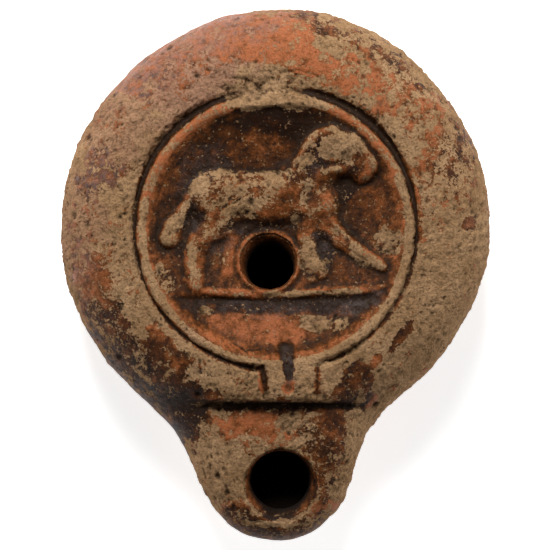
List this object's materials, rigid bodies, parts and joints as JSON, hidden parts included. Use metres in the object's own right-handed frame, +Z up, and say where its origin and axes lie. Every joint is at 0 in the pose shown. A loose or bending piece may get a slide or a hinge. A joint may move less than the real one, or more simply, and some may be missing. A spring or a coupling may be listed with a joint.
{
  "type": "roman oil lamp",
  "caption": "Hollow round terracotta oil lamp with a walking lion on its sunken disc, a filling hole, a short rounded nozzle with a wick hole, and worn brown and orange slip.",
  "frame": {"origin": "centre of the base disc's underside, on the axis of the round body", "axes": "+Z up out of the sunken disc, -Y towards the nozzle, +X to the right when the lamp is seen from above with the nozzle at the bottom"},
  "size_m": [0.0814, 0.1009, 0.0266],
  "materials": {
    "fired_clay": "fired buff clay with worn orange to dark brown slip, unglazed, matt to a dull sheen"
  },
  "bodies": {
    "root": {"oil_lamp": "fired_clay"}
  },
  "joints": []
}
